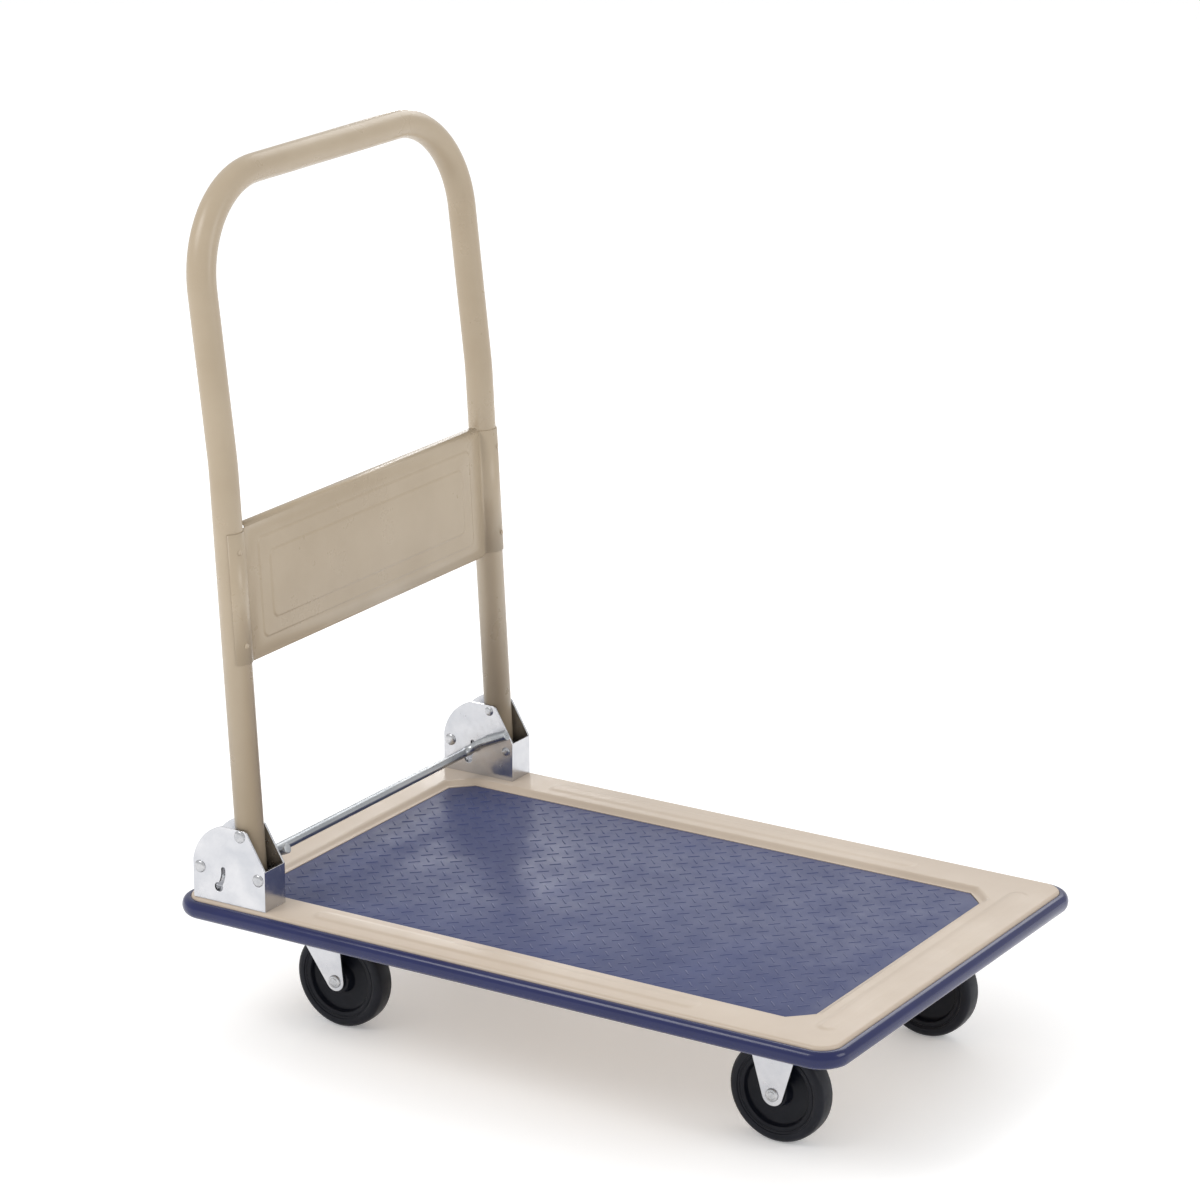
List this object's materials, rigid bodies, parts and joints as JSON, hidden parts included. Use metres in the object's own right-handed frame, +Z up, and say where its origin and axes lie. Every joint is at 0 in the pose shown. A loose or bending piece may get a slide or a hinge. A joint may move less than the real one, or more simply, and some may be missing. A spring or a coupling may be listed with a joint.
{
  "type": "folding platform cart",
  "caption": "Low platform cart with a rimmed steel deck, tread mat, edge bumper, casters and a tubular push handle that folds down flat over the deck.",
  "frame": {"origin": "on the floor under the middle of the platform: bottom centre of the bounding box", "axes": "+X from the handle end to the front end, +Y to the left when pushing the cart forwards, +Z up"},
  "size_m": [0.736, 0.491, 0.855],
  "materials": {
    "deck_paint": "satin powder coat, warm beige",
    "handle_paint": "satin powder coat, warm beige",
    "blue_mat": "ribbed tread, slightly shiny",
    "blue_bumper": "glossy blue PVC",
    "zinc_sheet": "bright zinc plating",
    "zinc_rod": "zinc plating, drawn rod",
    "zinc_fastener": "bright zinc plating",
    "spring_steel": "oiled steel",
    "black_tyre": "smooth black tyre",
    "black_core": "moulded black nylon"
  },
  "bodies": {
    "cart": {"deck_plate": "deck_paint", "deck_mat": "blue_mat", "edge_bumper": "blue_bumper", "front_caster_channel": "deck_paint", "rear_caster_channel": "deck_paint", "left_deck_rail": "deck_paint", "right_deck_rail": "deck_paint", "left_hinge_bracket": "zinc_sheet", "right_hinge_bracket": "zinc_sheet", "bracket_bolts": "zinc_fastener", "bracket_nuts": "zinc_fastener", "rear_rivets": "zinc_fastener", "stop_rivets": "zinc_fastener", "handle_pivot_rivets": "zinc_fastener", "lock_springs": "spring_steel", "pawl_spacers": "zinc_fastener", "caster_bolts": "zinc_fastener", "caster_nuts": "zinc_fastener", "left_fixed_fork": "zinc_sheet", "right_fixed_fork": "zinc_sheet", "front_left_axle": "zinc_fastener", "front_right_axle": "zinc_fastener", "left_swivel_plate": "zinc_sheet", "right_swivel_plate": "zinc_sheet", "left_kingpin": "zinc_fastener", "right_kingpin": "zinc_fastener", "swivel_balls": "spring_steel"},
    "handle": {"handle_tube": "handle_paint", "handle_panel": "handle_paint", "panel_rivets": "handle_paint"},
    "lock": {"lock_bar": "zinc_rod", "left_lock_pawl": "zinc_sheet", "right_lock_pawl": "zinc_sheet"},
    "left_swivel": {"left_swivel_fork": "zinc_sheet", "rear_left_axle": "zinc_fastener"},
    "right_swivel": {"right_swivel_fork": "zinc_sheet", "rear_right_axle": "zinc_fastener"},
    "front_left_wheel": {"front_left_tyre": "black_tyre", "front_left_wheel_core": "black_core", "front_left_wheel_bush": "spring_steel"},
    "front_right_wheel": {"front_right_tyre": "black_tyre", "front_right_wheel_core": "black_core", "front_right_wheel_bush": "spring_steel"},
    "rear_left_wheel": {"rear_left_tyre": "black_tyre", "rear_left_wheel_core": "black_core", "rear_left_wheel_bush": "spring_steel"},
    "rear_right_wheel": {"rear_right_tyre": "black_tyre", "rear_right_wheel_core": "black_core", "rear_right_wheel_bush": "spring_steel"}
  },
  "joints": [
    {"name": "handle_fold", "type": "hinge", "parent": "cart", "child": "handle", "pos_m": [-0.2899, 0, 0.216], "axis": [0, 1, 0], "range_deg": [0, 99.7]},
    {"name": "lock_bar_press", "type": "hinge", "parent": "cart", "child": "lock", "pos_m": [-0.3382, 0, 0.1765], "axis": [0, 1, 0], "range_deg": [0, 26], "stiffness_Nm_per_rad": 0.5, "springref_deg": -45.84, "deforming": ["lock_springs"]},
    {"name": "left_swivel_turn", "type": "hinge", "parent": "cart", "child": "left_swivel", "pos_m": [-0.271, 0.136, 0.118], "axis": [0, 0, 1], "continuous": true},
    {"name": "right_swivel_turn", "type": "hinge", "parent": "cart", "child": "right_swivel", "pos_m": [-0.271, -0.136, 0.118], "axis": [0, 0, 1], "continuous": true},
    {"name": "front_left_wheel_spin", "type": "hinge", "parent": "cart", "child": "front_left_wheel", "pos_m": [0.258, 0.145, 0.05], "axis": [0, 1, 0], "continuous": true},
    {"name": "front_right_wheel_spin", "type": "hinge", "parent": "cart", "child": "front_right_wheel", "pos_m": [0.258, -0.145, 0.05], "axis": [0, 1, 0], "continuous": true},
    {"name": "rear_left_wheel_spin", "type": "hinge", "parent": "left_swivel", "child": "rear_left_wheel", "pos_m": [-0.239, 0.136, 0.05], "axis": [0, 1, 0], "continuous": true},
    {"name": "rear_right_wheel_spin", "type": "hinge", "parent": "right_swivel", "child": "rear_right_wheel", "pos_m": [-0.239, -0.136, 0.05], "axis": [0, 1, 0], "continuous": true}
  ]
}
